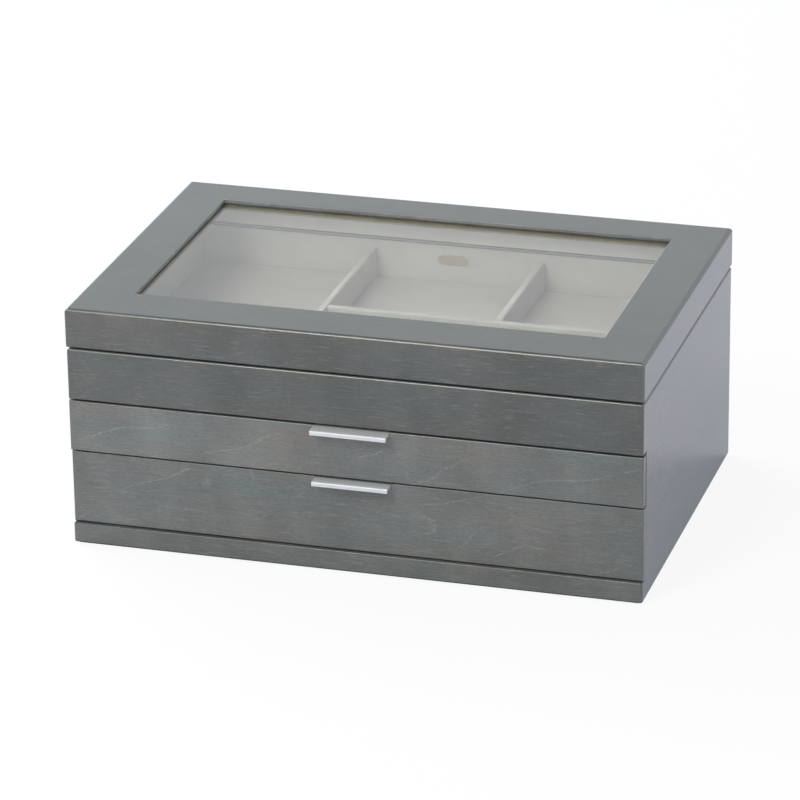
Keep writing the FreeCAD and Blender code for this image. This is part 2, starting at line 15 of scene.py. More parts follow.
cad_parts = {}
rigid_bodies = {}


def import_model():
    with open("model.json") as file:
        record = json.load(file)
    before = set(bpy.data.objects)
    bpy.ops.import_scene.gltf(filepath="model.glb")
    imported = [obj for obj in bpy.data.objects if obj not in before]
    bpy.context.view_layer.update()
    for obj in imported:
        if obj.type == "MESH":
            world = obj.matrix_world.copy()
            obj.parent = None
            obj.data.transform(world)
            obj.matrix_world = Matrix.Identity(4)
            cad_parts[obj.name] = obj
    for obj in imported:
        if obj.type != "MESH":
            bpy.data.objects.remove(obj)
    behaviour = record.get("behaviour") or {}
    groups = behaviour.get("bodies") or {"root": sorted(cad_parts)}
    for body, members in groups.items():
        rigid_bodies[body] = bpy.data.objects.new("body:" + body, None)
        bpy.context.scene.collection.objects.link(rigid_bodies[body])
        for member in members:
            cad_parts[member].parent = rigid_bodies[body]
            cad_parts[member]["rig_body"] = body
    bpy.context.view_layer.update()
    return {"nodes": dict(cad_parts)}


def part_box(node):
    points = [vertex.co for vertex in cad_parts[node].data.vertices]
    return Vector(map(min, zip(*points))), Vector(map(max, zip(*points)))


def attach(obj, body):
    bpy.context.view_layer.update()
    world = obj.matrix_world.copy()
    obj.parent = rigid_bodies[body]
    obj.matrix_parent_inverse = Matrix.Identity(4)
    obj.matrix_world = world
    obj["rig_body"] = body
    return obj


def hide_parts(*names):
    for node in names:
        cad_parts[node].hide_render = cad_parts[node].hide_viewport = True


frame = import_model()
nodes = frame["nodes"]
MM = 0.001

# %% [markdown]
# ## Colours and nodes
# Painters and screens give a colour as sRGB hex, but shaders work in linear light, so one function turns one
# into the other. A second small function adds a node, sets it up, links its inputs and hands back an output,
# so that a material reads from top to bottom like a recipe. Writing the four steps out for every node would
# work as well, but the materials would be several times as long.

# %% A colour function and a node function
def linear(hex_colour):
    """A colour written as sRGB hex, in the linear values that shaders work in."""
    parts = [int(hex_colour[i:i + 2], 16) / 255 for i in (1, 3, 5)]
    return tuple(c / 12.92 if c <= 0.04045 else ((c + 0.055) / 1.055) ** 2.4 for c in parts) + (1.0,)


def add(tree, kind, inputs=(), output=0, **settings):
    """Adds a node, and hands back one of its outputs, or all of them where output is None.

    Inputs are a list in the order of the sockets, or a dictionary by their names or numbers. Each of them is
    a value or another node's output. A node that ends a tree has no output to hand back.
    """
    node = tree.nodes.new(kind)
    for name, value in settings.items():
        setattr(node, name, value)
    for key, value in inputs.items() if isinstance(inputs, dict) else enumerate(inputs):
        if isinstance(value, bpy.types.NodeSocket):
            tree.links.new(value, node.inputs[key])
        else:
            node.inputs[key].default_value = value
    return node.outputs if output is None or not node.outputs else node.outputs[output]


def new_material(name):
    """An empty material, and the node tree that its nodes go in."""
    material = bpy.data.materials.new(name)
    material.use_nodes = True
    material.node_tree.nodes.clear()
    return material, material.node_tree


# The kinds of node that come up most. A mix takes its share on input 0, numbers on 2 and 3, vectors on 4 and
# 5 and colours on 6 and 7, and hands back a number on output 0, a vector on 1 and a colour on 2.
MATH, VECTOR, SPLIT = "ShaderNodeMath", "ShaderNodeVectorMath", "ShaderNodeSeparateXYZ"
RANGE, MIX, BUMP = "ShaderNodeMapRange", "ShaderNodeMix", "ShaderNodeBump"
PLACES, PRINCIPLED, SURFACE = "ShaderNodeTexCoord", "ShaderNodeBsdfPrincipled", "ShaderNodeOutputMaterial"
print("the grey #808080 is", round(linear("#808080")[0], 3), "in linear light")

# %% [markdown]
# ## Where the grain runs
# A board's grain runs along it, and veneer that is wrapped round an edge carries it over. A Mapping node for
# each face would do for a few boards. Here one rule serves all: the way a face points says which of its sides
# is along the grain and which is across, and the pattern is read in those directions. A seed shifts the
# pattern, so that no two boards were cut from the same sheet.

# %% Places on a board
# Past these parts of its normal, a place counts as a side face, a level face or a lower edge.
SIDE_TURN, LEVEL_TURN, UNDER_TURN = 0.17, 0.985, -0.3
SEED_SHIFT = Vector((0.37, 0.71, 0.53))


def board_space(tree, order, seed):
    """The place on a board as (along the grain, across it, into the board), shifted by a seed."""
    place = add(tree, PLACES, output="Object")
    parts = dict(zip("xyz", add(tree, SPLIT, [place], output=None)))
    board = add(tree, "ShaderNodeCombineXYZ", [parts[axis] for axis in order])
    return add(tree, VECTOR, [board, SEED_SHIFT * seed], operation="ADD")


def veneer_space(tree, seed):
    """The place on wrapped veneer, and flags that are 1 on side faces, level faces and lower edges."""
    on_front, on_side, on_top = (board_space(tree, order, seed) for order in ("xzy", "yzx", "xyz"))
    normal = add(tree, PLACES, output="Normal")
    away = add(tree, SPLIT, [add(tree, VECTOR, [normal], operation="ABSOLUTE")], output=None)
    side = add(tree, MATH, [away[0], SIDE_TURN], operation="GREATER_THAN")
    level = add(tree, MATH, [away[2], LEVEL_TURN], operation="GREATER_THAN")
    upward = add(tree, SPLIT, [normal], output=2)
    under = add(tree, MATH, [upward, UNDER_TURN], operation="LESS_THAN")
    space = add(tree, MIX, {0: side, 4: on_front, 5: on_side}, output=1, data_type="VECTOR")
    space = add(tree, MIX, {0: level, 4: space, 5: on_top}, output=1, data_type="VECTOR")
    return space, side, level, under


def by_face(tree, side, level, look):
    """One number for all faces, or three: for the front and back, for the sides and for level faces."""
    if isinstance(look, float):
        return look
    front, on_side, on_level = look
    sideways = add(tree, MATH, [side, on_side - front, front], operation="MULTIPLY_ADD")
    return add(tree, MATH, [level, on_level - front, sideways], operation="MULTIPLY_ADD")


def depth_in_box(tree, low, high):
    """How far a place is from a box's nearest left or right, front or back face, and from its top."""
    place = add(tree, PLACES, output="Object")
    centre, half = (low + high) / 2, (high - low) / 2
    offset = add(tree, VECTOR, [place, centre], operation="SUBTRACT")
    away = add(tree, VECTOR, [offset], operation="ABSOLUTE")
    depth = add(tree, SPLIT, [add(tree, VECTOR, [half, away], operation="SUBTRACT")], output=None)
    height = add(tree, SPLIT, [offset], output=2)
    below_top = add(tree, MATH, [half.z, height], operation="SUBTRACT")
    return depth[0], depth[1], below_top


def grain_noise(tree, space, length, width, detail=2.0, rough=0.5):
    """Noise whose patches are about length along the grain and width across it, both in millimetres."""
    size = (1 / (length * MM), 1 / (width * MM), 1 / (width * MM))
    stretched = add(tree, VECTOR, [space, size], operation="MULTIPLY")
    inputs = {"Vector": stretched, "Scale": 1.0, "Detail": detail, "Roughness": rough}
    return add(tree, "ShaderNodeTexNoise", inputs, output="Fac")


def around_one(tree, value, amount):
    """Noise about a half turned into a factor about one."""
    centred = add(tree, MATH, [value, 0.5], operation="SUBTRACT")
    return add(tree, MATH, [centred, amount, 1.0], operation="MULTIPLY_ADD")


print("faces count as sides past", round(math.degrees(math.asin(SIDE_TURN))), "degrees")

# %% [markdown]
# ## The flame of birch
# Birch shows thin pale lines where a growth ring meets the knife: the flame. On peeled veneer such a line is
# a contour line of the log, so here it is the contour line of a slow noise too. A finer noise makes it
# waver, and two more leave it out in places and break it into short strokes. Drawn curves would give control
# over each line, but nobody would draw hundreds.

# %% Flame lines
RING_SPACING = 21 * MM
LINE_SHARE = 0.05
FLAME_LEAN = 20
FEATHER = 0.14


def flame_lines(tree, space, wander):
    """Thin broken lines where growth rings meet the surface; wander is how far they stray, in rings."""
    turn = {"Vector": space, "Angle": math.radians(-FLAME_LEAN)}
    leaning = add(tree, "ShaderNodeVectorRotate", turn, rotation_type="Z_AXIS")
    across = add(tree, SPLIT, [leaning], output=1)
    rings = add(tree, MATH, [across, RING_SPACING], operation="DIVIDE")
    drift = grain_noise(tree, space, 60, 34, detail=1.0)
    rings = add(tree, MATH, [drift, wander, rings], operation="MULTIPLY_ADD")
    feather = grain_noise(tree, space, 9, 0.7)
    rings = add(tree, MATH, [feather, FEATHER, rings], operation="MULTIPLY_ADD")
    run = add(tree, MATH, [rings], operation="FRACT")
    edge = {"Value": run, "From Min": 0.0, "From Max": LINE_SHARE, "To Min": 1.0, "To Max": 0.0}
    line = add(tree, RANGE, edge, interpolation_type="SMOOTHSTEP")
    presence = grain_noise(tree, space, 30, 12)
    here_and_there = add(tree, RANGE, {"Value": presence, "From Min": 0.42, "From Max": 0.58})
    strokes = grain_noise(tree, space, 5, 0.6, detail=1.0)
    broken = add(tree, RANGE, {"Value": strokes, "From Min": 0.35, "From Max": 0.6, "To Min": 0.15})
    line = add(tree, MATH, [line, broken], operation="MULTIPLY")
    return add(tree, MATH, [line, here_and_there], operation="MULTIPLY")


print("a flame line is", round(RING_SPACING * LINE_SHARE / MM, 1), "mm wide")

# %% [markdown]
# ## Stained and lacquered birch veneer
# Every board of the case and the lid is covered in birch veneer, stained grey and sprayed with a semi-gloss
# lacquer. To the eye that is a smooth sheen over wood that still shows its grain. The stain took warmer and
# cooler in long patches and lighter and darker in clouds, with fine streaks, pores and small pale dashes.
# All of these are noise, and all but the clouds are stretched along the grain. Birch's real pores are too
# fine to show, so they are drawn about half a millimetre wide. The lacquer has faint dimples 3 mm apart. The
# stain is rubbed thin along the upper edges that face out, and the pale line there is also a painted
# highlight of the lamps on the rounded edge; the distance to those edges, worked out from the board's box,
# gives it. The lower edges are drawn darker as painted shade in the seams below them, and are dull, because
# the spray gun misses them. A photograph of veneer would be quicker, but it repeats, and it brings its own
# light along.

# %% The stain
STAIN_COOL = linear("#5f6665")
STAIN_WARM = linear("#676562")
FLAME_PALE = linear("#9b9c96")
# The colour of stain rubbed thin on the upper edges, and of a painted highlight there.
RUBBED_AND_HIGHLIT = linear("#b4b5ab")
RUB_AND_HIGHLIGHT_START, RUB_AND_HIGHLIGHT_FADE = 0.3, 0.4 * MM
WINDOW_MARGIN = 10 * MM
LIP_TOP, LIP_BOTTOM = 1.5 * MM, 2.1 * MM
# A painted light on the upper part of the window's cut edge, and a painted shade below it.
LIP_PAINTED_LIGHT, LIP_PAINTED_SHADE = 1.1, 0.2
# How much cooler level faces are drawn: a painted cool reflection.
STREAKS_IN_PATCHES, LEVEL_PAINTED_COOL = 0.12, 0.4


def stain_colour(tree, space, streak, level):
    """Stain that took warmer and cooler in long patches, with a painted cool reflection on level faces."""
    patches = grain_noise(tree, space, 70, 14, detail=3.0)
    patches = add(tree, MATH, [streak, STREAKS_IN_PATCHES, patches], operation="MULTIPLY_ADD")
    warmth = add(tree, RANGE, {"Value": patches, "From Min": 0.34, "From Max": 0.78})
    on_level = add(tree, MATH, [level, -LEVEL_PAINTED_COOL, 1.0], operation="MULTIPLY_ADD")
    warmth = add(tree, MATH, [warmth, on_level], operation="MULTIPLY")
    return add(tree, MIX, {0: warmth, 6: STAIN_COOL, 7: STAIN_WARM}, output=2, data_type="RGBA")


def painted_light_falling_to_the_right(tree, tone, fade, right_end):
    """A tone that loses a share of itself by the right end, and gains as much by the left one: painted light
    falling off away from the lamps on the left.
    """
    place = add(tree, SPLIT, [add(tree, PLACES, output="Object")], output=0)
    right = add(tree, MATH, [place, right_end], operation="DIVIDE")
    lost = add(tree, MATH, [right, fade], operation="MULTIPLY")
    kept = add(tree, MATH, [1.0, lost], operation="SUBTRACT")
    return add(tree, MATH, [tone, kept], operation="MULTIPLY")


def window_lip_light_and_shade(tree, from_sides, below_top, level):
    """A factor for the window's cut edge: a painted light near its top and a painted shade below that, 1
    elsewhere.
    """
    nearest = add(tree, MATH, from_sides, operation="MINIMUM")
    inside = add(tree, MATH, [nearest, WINDOW_MARGIN], operation="GREATER_THAN")
    steep = add(tree, MATH, [1.0, level], operation="SUBTRACT")
    lip = add(tree, MATH, [inside, steep], operation="MULTIPLY")
    tone = add(tree, RANGE, {
        "Value": below_top, "From Min": LIP_TOP, "From Max": LIP_BOTTOM,
        "To Min": LIP_PAINTED_LIGHT, "To Max": -LIP_PAINTED_SHADE,
    }, interpolation_type="SMOOTHSTEP")
    return add(tree, MATH, [lip, tone, 1.0], operation="MULTIPLY_ADD")


def edge_rub_and_highlight(tree, from_side, below_top, radius):
    """1 along an upper edge, where wear and a painted highlight go, and 0 away from it; the radius is that of
    the rounded edge.
    """
    from_edge = add(tree, MATH, [below_top, from_side], operation="MAXIMUM")
    start = RUB_AND_HIGHLIGHT_START * radius
    fade = {"Value": from_edge, "From Min": start, "From Max": start + RUB_AND_HIGHLIGHT_FADE, "To Min": 1.0, "To Max": 0.0}
    return add(tree, RANGE, fade, interpolation_type="SMOOTHSTEP")


print("the cool stain is", [round(c, 3) for c in STAIN_COOL[:3]])

# %% The veneer material
STREAK_DEPTH, PORE_DEPTH = 0.35, 0.6
GLOSS, GLOSS_CLOUDS = 0.1, 0.06
UNDER_PAINTED_SHADE, UNDER_DULLER, BARE_DULLER = 0.7, 0.6, 0.5
DIMPLE, DIMPLE_DEPTH = 3.0, 0.05 * MM
UNEVEN, EVENER_SIDES = 0.02, 0.018


def lacquered_veneer(name, seed, box, rubbed_and_lit_side, rim, radius, rub_and_highlight, tone, fade, clouds, grain, flame, wander):
    """Stained birch veneer under semi-gloss lacquer; a look is one number, or one for each way of facing."""
    material, tree = new_material(name)
    space, side, level, under = veneer_space(tree, seed)
    looks = (tone, fade, clouds, grain, flame)
    tone, fade, clouds, grain, flame = (by_face(tree, side, level, look) for look in looks)
    cloud = grain_noise(tree, space, 30, 38)
    streak = grain_noise(tree, space, 14, 0.9, detail=3.0, rough=0.6)
    pores = grain_noise(tree, space, 2.2, 0.55)
    *from_sides, below_top = depth_in_box(tree, *box)

    # The fall of the tone towards the right is painted light.
    depth = painted_light_falling_to_the_right(tree, tone, fade, box[1].x)
    for part, amount in ((streak, STREAK_DEPTH), (pores, PORE_DEPTH)):
        share = add(tree, MATH, [grain, amount], operation="MULTIPLY")
        depth = add(tree, MATH, [depth, around_one(tree, part, share)], operation="MULTIPLY")
    depth = add(tree, MATH, [depth, around_one(tree, cloud, clouds)], operation="MULTIPLY")
    # The window's cut edge gets a painted light near its top and a painted shade lower down.
    lip = window_lip_light_and_shade(tree, from_sides, below_top, level)
    depth = add(tree, MATH, [depth, lip], operation="MULTIPLY")
    # Lower edges are drawn darker: painted shade in the seams below them.
    painted_shade_under = add(tree, MATH, [under, -UNDER_PAINTED_SHADE, 1.0], operation="MULTIPLY_ADD")
    depth = add(tree, MATH, [depth, painted_shade_under], operation="MULTIPLY")
    stain = stain_colour(tree, space, streak, level)
    stain = add(tree, VECTOR, {0: stain, "Scale": depth}, operation="SCALE")

    dash = grain_noise(tree, space, 9, 0.8, detail=1.0)
    dashes = add(tree, RANGE, {"Value": dash, "From Min": 0.6, "From Max": 0.75, "To Max": 0.2})
    dashes = add(tree, MATH, [dashes, grain], operation="MULTIPLY")
    flames = add(tree, MATH, [flame_lines(tree, space, wander), flame], operation="MULTIPLY")
    pale = add(tree, MATH, [dashes, flames], operation="MAXIMUM")
    stain = add(tree, MIX, {0: pale, 6: stain, 7: FLAME_PALE}, output=2, data_type="RGBA")
    # Along the upper edges: wear, and a painted highlight of the lamps.
    worn_and_lit = edge_rub_and_highlight(tree, from_sides[rubbed_and_lit_side], below_top, radius)
    worn_and_lit = add(tree, MATH, [worn_and_lit, rub_and_highlight], operation="MULTIPLY")
    stain = add(tree, MIX, {0: worn_and_lit, 6: stain, 7: RUBBED_AND_HIGHLIT}, output=2, data_type="RGBA")

    dimples = grain_noise(tree, space, DIMPLE, DIMPLE, detail=1.0)
    height = add(tree, MATH, [streak, 0.5, dimples], operation="MULTIPLY_ADD")
    unevenness = add(tree, MATH, [side, -EVENER_SIDES, UNEVEN], operation="MULTIPLY_ADD")
    bump = add(tree, BUMP, {"Height": height, "Strength": unevenness, "Distance": DIMPLE_DEPTH})
    gloss = add(tree, MATH, [cloud, GLOSS_CLOUDS, GLOSS], operation="MULTIPLY_ADD")
    above_rim = add(tree, SPLIT, [add(tree, PLACES, output="Object")], output=2)
    bare = add(tree, MATH, [above_rim, rim], operation="GREATER_THAN")
    gloss = add(tree, MATH, [bare, BARE_DULLER, gloss], operation="MULTIPLY_ADD")
    gloss = add(tree, MATH, [under, UNDER_DULLER, gloss], operation="MULTIPLY_ADD")
    inputs = {"Base Color": stain, "Roughness": gloss, "IOR": 1.5, "Normal": bump}
    add(tree, SURFACE, {"Surface": add(tree, PRINCIPLED, inputs)})
    return material


print("lacquer roughness", GLOSS, "to", GLOSS + GLOSS_CLOUDS)

# %% [markdown]
# ## Which board gets which piece of veneer
# The grain runs from left to right on the fronts, the back and the lid's top, and from front to back on the
# sides. The lid was veneered after it was glued up, so its five boards share one material and no joint shows.
# Every other board has its own seed, because a pattern that ran on from one to the next would show that it is
# painted on. The drawer fronts have the liveliest flame, and the plainer veneer went to the rest. Where the
# table gives three values, they are for faces to the front and back, for the sides and for level faces. The
# case's upper rim, which the closed lid hides, got hardly any lacquer and is dull.

# %% Dress the boards
def dress(names, material):
    """Gives CAD nodes a finish; their meshes stay as they are."""
    for name in names:
        for material_slot in nodes[name].material_slots:
            material_slot.material = material


def joined_box(names):
    """The low and high corner of the box round several nodes."""
    boxes = [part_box(name) for name in names]
    low = Vector([min(box[0][axis] for box in boxes) for axis in range(3)])
    high = Vector([max(box[1][axis] for box in boxes) for axis in range(3)])
    return low, high


LID_BOARDS = ["lid_top_frame", "lid_rail_front", "lid_rail_back", "lid_rail_left", "lid_rail_right"]
# fade is painted light, falling off towards the right, away from the lamps on the left.
LOOKS = {
    # The lid's three tones are painted light: its front drawn darker and its sides and top lighter, as the
    # lamps fall on them.
    "lid": dict(
        radius=2.0 * MM, rub_and_highlight=0.4, tone=(0.78, 1.15, 1.02), fade=(0.10, 0.0, 0.0), clouds=(0.7, 0.3, 0.25),
        grain=(1.0, 0.25, 0.3), flame=(0.15, 0.05, 0.05), wander=1.2,
    ),
    "upper_front_panel": dict(
        radius=1.4 * MM, rub_and_highlight=0.4, tone=0.75, fade=0.08, clouds=0.75, grain=1.0, flame=0.12, wander=1.0,
    ),
    "base_front_rail": dict(
        radius=0.8 * MM, rub_and_highlight=0.0, tone=1.02, fade=0.0, clouds=0.8, grain=1.0, flame=0.1, wander=1.0,
    ),
    "side_panel_left": dict(
        radius=1.4 * MM, rub_and_highlight=0.0, tone=1.10, fade=0.0, clouds=0.4, grain=0.4, flame=0.10, wander=1.5,
    ),
    "side_panel_right": dict(
        radius=1.4 * MM, rub_and_highlight=0.0, tone=1.17, fade=0.0, clouds=0.3, grain=0.15, flame=0.05, wander=1.5,
    ),
    "back_panel": dict(
        radius=1.4 * MM, rub_and_highlight=0.4, tone=0.95, fade=0.0, clouds=0.7, grain=1.0, flame=0.15, wander=1.4,
    ),
    "upper_drawer_front": dict(
        radius=0.6 * MM, rub_and_highlight=0.1, tone=1.19, fade=0.05, clouds=0.65, grain=1.0, flame=0.6, wander=1.4,
    ),
    "lower_drawer_front": dict(
        radius=0.6 * MM, rub_and_highlight=0.4, tone=1.14, fade=0.02, clouds=0.6, grain=1.0, flame=0.6, wander=3.4,
    ),
}
case_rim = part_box("upper_front_panel")[1].z - 0.05 * MM
NO_RIM = 1.0  # higher than anything on the box
for seed, (name, look) in enumerate(LOOKS.items(), start=1):
    boards = LID_BOARDS if name == "lid" else [name]
    rim = NO_RIM if name == "lid" else case_rim
    rubbed_and_lit_side = 0 if name.startswith("side") else 1
    title = f"lacquered_birch_veneer_{name}"
    dress(boards, lacquered_veneer(title, seed, joined_box(boards), rubbed_and_lit_side, rim, **look))
print(len(LOOKS), "pieces of veneer")

# %% [markdown]
# ## Painted fibreboard and olive strip wood
# Where nobody looks, such a box is made of medium density fibreboard with a thin coat of grey paint: the
# drawers' walls, the bottom and the two inner shelves. The paint is matt and shows the board's short fibres
# as a faint speckle. Four narrow strips hold the glass up in the lid. Their edges show below the window as a
# dark olive line, so they are plain stained wood without lacquer, and look dry.

# %% The matt materials
def matt_board(name, dark, pale, grain_length, grain_width, roughness):
    """A matt surface with two close colours in fibres of the given size, in millimetres."""
    material, tree = new_material(name)
    space = board_space(tree, "xyz", 0.0)
    fibres = grain_noise(tree, space, grain_length, grain_width, detail=4.0, rough=0.65)
    spread = add(tree, RANGE, {"Value": fibres, "From Min": 0.3, "From Max": 0.7})
    colour = add(tree, MIX, {0: spread, 6: linear(dark), 7: linear(pale)}, output=2, data_type="RGBA")
    bump = add(tree, BUMP, {"Height": fibres, "Strength": 0.3, "Distance": 0.08 * MM})
    inputs = {"Base Color": colour, "Roughness": roughness, "Normal": bump}
    add(tree, SURFACE, {"Surface": add(tree, PRINCIPLED, inputs)})
    return material


painted_board = matt_board("painted_fibreboard_matt", "#4a4c4c", "#5a5d5c", 2.5, 0.8, 0.62)
inner_boards = ["bottom_board", "drawer_shelf", "tray_floor_board"]
for drawer in ("upper_drawer", "lower_drawer"):
    inner_boards += [f"{drawer}_{part}" for part in ("side_left", "side_right", "back", "bottom")]
dress(inner_boards, painted_board)
strip_wood = matt_board("stained_strip_wood_matt", "#7a7564", "#918b77", 12.0, 0.7, 0.7)
dress(["glass_retainer_strips"], strip_wood)
print(len(inner_boards), "painted boards")

# %% [markdown]
# ## Metal
# The pulls are bent aluminium with a silver powder coat. The coat scatters light almost like paint, so little
# of it is metallic. The hinges and screws are nickel-plated steel, smoother and darker. The small plate with
# round ends on the back of the tray is pale brass and bare. Those two are full metals, so their colour is
# what they reflect. Faint lines along the length give the drawn look. They are noise and not geometry, and
# noise about 0.2 mm wide is coarser than real drawing marks, but finer ones wouldn't show at all.

# %% The metal materials
LINE_LENGTH = 25
LINE_SHADE, LINE_ROUGHNESS = 0.16, 0.12


def brushed_metal(name, colour, roughness, order, line_width, depth, metallic=1.0):
    """A metal with faint lines along its first axis; LINE_LENGTH and line_width are in millimetres."""
    material, tree = new_material(name)
    space = board_space(tree, order, 0.0)
    lines = grain_noise(tree, space, LINE_LENGTH, line_width)
    shade = add(tree, MATH, [lines, LINE_SHADE, 1 - LINE_SHADE / 2], operation="MULTIPLY_ADD")
    tinted = add(tree, VECTOR, {0: linear(colour)[:3], "Scale": shade}, operation="SCALE")
    rough = add(tree, MATH, [lines, LINE_ROUGHNESS, roughness - LINE_ROUGHNESS / 2], operation="MULTIPLY_ADD")
    bump = add(tree, BUMP, {"Height": lines, "Strength": depth, "Distance": 0.02 * MM})
    inputs = {"Base Color": tinted, "Metallic": metallic, "Roughness": rough, "Normal": bump}
    add(tree, SURFACE, {"Surface": add(tree, PRINCIPLED, inputs)})
    return material


# Powder coat gives an even, soft silver, and its mirror image of the room is only a haze.
silver_coat = brushed_metal(
    "silver_powder_coated_aluminium", "#d2d6d8", 0.36, "xyz", 0.15, 0.10, metallic=0.2,
)
# Nickel plate shows blurred reflections and a slightly warm grey.
nickel = brushed_metal("nickel_plated_steel", "#c9c6bf", 0.26, "xyz", 0.2, 0.08)
# Satin brass gives a pale gold that is brightest where it faces a lamp.
pale_brass = brushed_metal("satin_pale_brass", "#cfc3a0", 0.34, "xzy", 0.2, 0.10)
hinge_parts = ["hinge_leaves_case", "hinge_leaves_lid", "hinge_pins", "hinge_screws_case", "hinge_screws_lid"]
metal_parts = [
    (silver_coat, ["upper_drawer_pull", "lower_drawer_pull"]),
    (nickel, hinge_parts + ["upper_drawer_pull_screws", "lower_drawer_pull_screws"]),
    (pale_brass, ["blank_oval_plate"]),
]
for metal, names in metal_parts:
    dress(names, metal)
print("metal on", sum(len(names) for metal, names in metal_parts), "nodes")

# %% [markdown]
# ## The window
# The window is 2 mm float glass: smooth, colourless on its face and faintly green through its edge. A glass
# shader bends the view into the tray as the real pane does. A path tracer can't find the lamps through it,
# though, so for shadow rays the pane is plain transparent, and the tray gets its light.

# %% The glass material
material, tree = new_material("float_glass_clear")
inputs = {"Base Color": linear("#fafbfa"), "Roughness": 0.0, "IOR": 1.52, "Transmission Weight": 1.0}
pane = add(tree, PRINCIPLED, inputs)
open_way = add(tree, "ShaderNodeBsdfTransparent", {"Color": linear("#e9eae8")})
lamp_ray = add(tree, "ShaderNodeLightPath", output="Is Shadow Ray")
add(tree, SURFACE, {"Surface": add(tree, "ShaderNodeMixShader", [lamp_ray, pane, open_way])})
dress(["glass_panel"], material)
print("glass on the window")

# %% [markdown]
# ## Suede-like lining and felt
# The lining is a cream microfibre cloth, glued over thin foam and card. Its nap is far too fine to model as
# hairs, so a speckle of about half a millimetre stands for it, coarser than it is so that it shows at all.
# Where the nap has been stroked one way or the other the cloth looks a little paler or darker, and a sheen
# brightens it where it turns away. The lid's cards wear the same cloth a shade paler, which is painted light
# on them. The felt is the same idea with longer fibres in dark grey, and swallows most of the light.

# %% The cloth materials
NAP_SHARE, STROKED_SHARE = 0.55, 0.45
PATCH_WIDTH = 0.6


def napped_cloth(name, dark, pale, speckle, patch, sheen):
    """Short-napped cloth; speckle and patch are the sizes of fibres and stroked areas, in millimetres."""
    material, tree = new_material(name)
    space = board_space(tree, "xyz", 0.0)
    stroked = grain_noise(tree, space, patch, patch * PATCH_WIDTH)
    nap = grain_noise(tree, space, speckle, speckle, detail=3.0, rough=0.7)
    stroked = add(tree, MATH, [stroked, STROKED_SHARE], operation="MULTIPLY")
    blend = add(tree, MATH, [nap, NAP_SHARE, stroked], operation="MULTIPLY_ADD")
    spread = add(tree, RANGE, {"Value": blend, "From Min": 0.3, "From Max": 0.7})
    colour = add(tree, MIX, {0: spread, 6: linear(dark), 7: linear(pale)}, output=2, data_type="RGBA")
    bump = add(tree, BUMP, {"Height": nap, "Strength": 0.35, "Distance": 0.15 * MM})
    inputs = {
        "Base Color": colour, "Roughness": 0.95, "Specular IOR Level": 0.15, "Sheen Weight": sheen,
        "Sheen Roughness": 0.5, "Normal": bump,
    }
    add(tree, SURFACE, {"Surface": add(tree, PRINCIPLED, inputs)})
    return material


suede = napped_cloth("microfibre_suede_cream", "#aaa8a1", "#bbb9b2", 0.5, 28, 0.2)
# The same cloth a shade paler, as painted light on the lid's cards.
suede_painted_paler = napped_cloth("microfibre_suede_cream_painted_paler", "#c0beb6", "#d1cec6", 0.5, 28, 0.2)
felt = napped_cloth("pressed_felt_dark_grey", "#2e2f31", "#424346", 0.8, 12, 0.15)
print("cloths:", suede.name, suede_painted_paler.name, felt.name)

# %% [markdown]
# ## A soft block
# Nearly everything soft in the box starts as a block whose edges are rounded by the foam under the cloth. A
# bevelled cube would do that too, but its large flat faces have no points to move, and cloth over foam is
# never quite flat. So the block is a fine grid of points on all six sides. Each point is pushed out from an
# inner box by the radius, which rounds the edges, and then drawn in a little by a slow noise. Each axis has a
# radius of its own, so a strip can have soft edges and square ends. Nothing goes outside the block that CAD
# keeps free for it.

# %% The soft block function
ROUND_STEPS = 4
STEP = 4 * MM
WAVE = 18 * MM


def graded(low, high, radius, step):
    """Places along an axis: close together over its rounded ends, and about step apart between them."""
    ends = [radius * (1 - math.cos(math.pi / 2 * i / ROUND_STEPS)) for i in range(ROUND_STEPS)]
    inner = (low + radius, high - radius)
    count = max(1, round((inner[1] - inner[0]) / step))
    middle = [inner[0] + (inner[1] - inner[0]) * i / count for i in range(count + 1)]
    return [low + end for end in ends] + middle + [high - end for end in reversed(ends)]


def soft_points(low, high, radii, step, sag, wave):
    """Points and faces of a soft block, rounded by a radius for each axis and drawn in by sag at most."""
    axes = [graded(low[i], high[i], radii[i], step) for i in range(3)]
    last = [len(axis) - 1 for axis in axes]
    inner_low, inner_high = low + Vector(radii), high - Vector(radii)
    index, points, faces = {}, [], []

    def point(key):
        if key not in index:
            place = Vector([axes[i][key[i]] for i in range(3)])
            core = Vector([min(max(place[i], inner_low[i]), inner_high[i]) for i in range(3)])
            outward = Vector([(place[i] - core[i]) / radii[i] for i in range(3)]).normalized()
            full = 1 - sag * (0.5 + 0.5 * noise.noise(place / wave)) / max(radii)
            index[key] = len(points)
            points.append(core + Vector([outward[i] * radii[i] * full for i in range(3)]))
        return index[key]

    for axis in range(3):
        u, v = (axis + 1) % 3, (axis + 2) % 3
        for side in (0, last[axis]):
            for i in range(last[u]):
                for j in range(last[v]):
                    corners = []
                    for du, dv in ((0, 0), (1, 0), (1, 1), (0, 1)):
                        key = [0, 0, 0]
                        key[axis], key[u], key[v] = side, i + du, j + dv
                        corners.append(point(tuple(key)))
                    faces.append(corners if side else corners[::-1])
    return points, faces


def soft_mesh(name, points, faces):
    """An object with a smooth mesh of the given points and faces."""
    mesh = bpy.data.meshes.new(name)
    mesh.from_pydata(points, [], faces)
    mesh.shade_smooth()
    piece = bpy.data.objects.new(name, mesh)
    bpy.context.scene.collection.objects.link(piece)
    return piece


